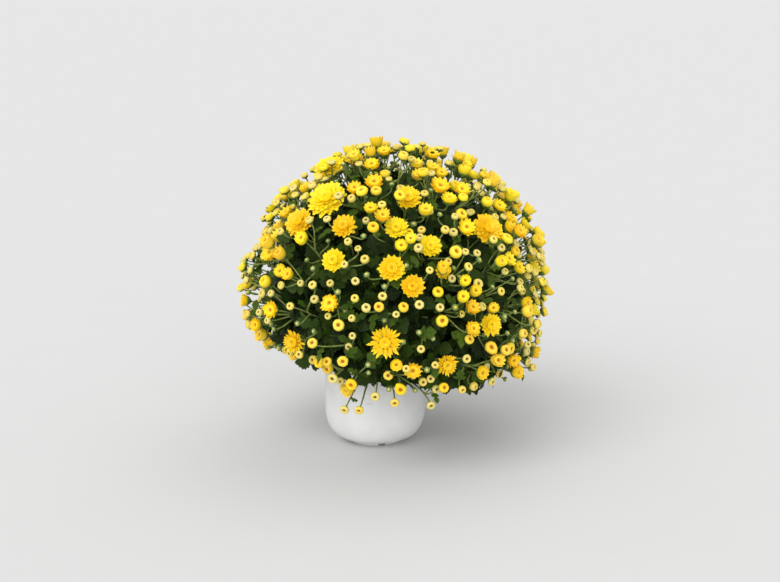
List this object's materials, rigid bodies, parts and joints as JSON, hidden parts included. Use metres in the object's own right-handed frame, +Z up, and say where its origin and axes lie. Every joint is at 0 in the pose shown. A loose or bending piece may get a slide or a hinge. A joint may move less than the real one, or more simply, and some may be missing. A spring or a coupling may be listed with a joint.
{
  "type": "pot chrysanthemum",
  "caption": "Dome of yellow chrysanthemum buds and double blooms on leafy green shoots, in a white bowl pot with a low foot.",
  "frame": {"origin": "centre of the pot's flat foot, on the surface that the pot stands on", "axes": "+Z up along the pot's axis; the side that the picture shows faces -Y, with +X to the right of it"},
  "size_m": [0.4863, 0.5047, 0.488],
  "materials": {
    "pot": "satin",
    "potting_mix": "rough, moist",
    "foliage": "matt leaf green",
    "petals": "soft petal yellow"
  },
  "bodies": {
    "root": {"pot": "pot", "potting_mix": "potting_mix", "leafy_shoot_1": "foliage", "leafy_shoot_2": "foliage", "leafy_shoot_3": "foliage", "leafy_shoot_4": "foliage", "leafy_shoot_5": "foliage", "leafy_shoot_6": "foliage", "leafy_shoot_7": "foliage", "leafy_shoot_8": "foliage", "leafy_shoot_9": "foliage", "bloom_01": "petals", "bloom_02": "petals", "bloom_03": "petals", "bloom_04": "petals", "bloom_05": "petals", "bloom_06": "petals", "bloom_07": "petals", "bloom_08": "petals", "bloom_09": "petals", "bloom_10": "petals", "bloom_11": "petals", "bloom_12": "petals", "bloom_13": "petals", "bloom_14": "petals", "bloom_15": "petals", "bloom_16": "petals", "bloom_17": "petals", "bloom_18": "petals", "bloom_19": "petals", "bloom_20": "petals", "bloom_21": "petals", "bloom_22": "petals", "bloom_23": "petals", "bloom_24": "petals", "bloom_25": "petals", "bloom_26": "petals", "bloom_27": "petals", "bloom_28": "petals", "bloom_29": "petals", "bloom_30": "petals", "bloom_31": "petals", "bloom_32": "petals", "bloom_33": "petals", "bloom_34": "petals", "bloom_35": "petals", "bloom_36": "petals", "bloom_37": "petals", "bloom_38": "petals", "bloom_39": "petals", "bloom_40": "petals", "bloom_41": "petals", "bloom_42": "petals", "bloom_43": "petals", "bloom_44": "petals", "bloom_45": "petals", "bloom_46": "petals", "bloom_47": "petals", "bloom_48": "petals"}
  },
  "joints": []
}
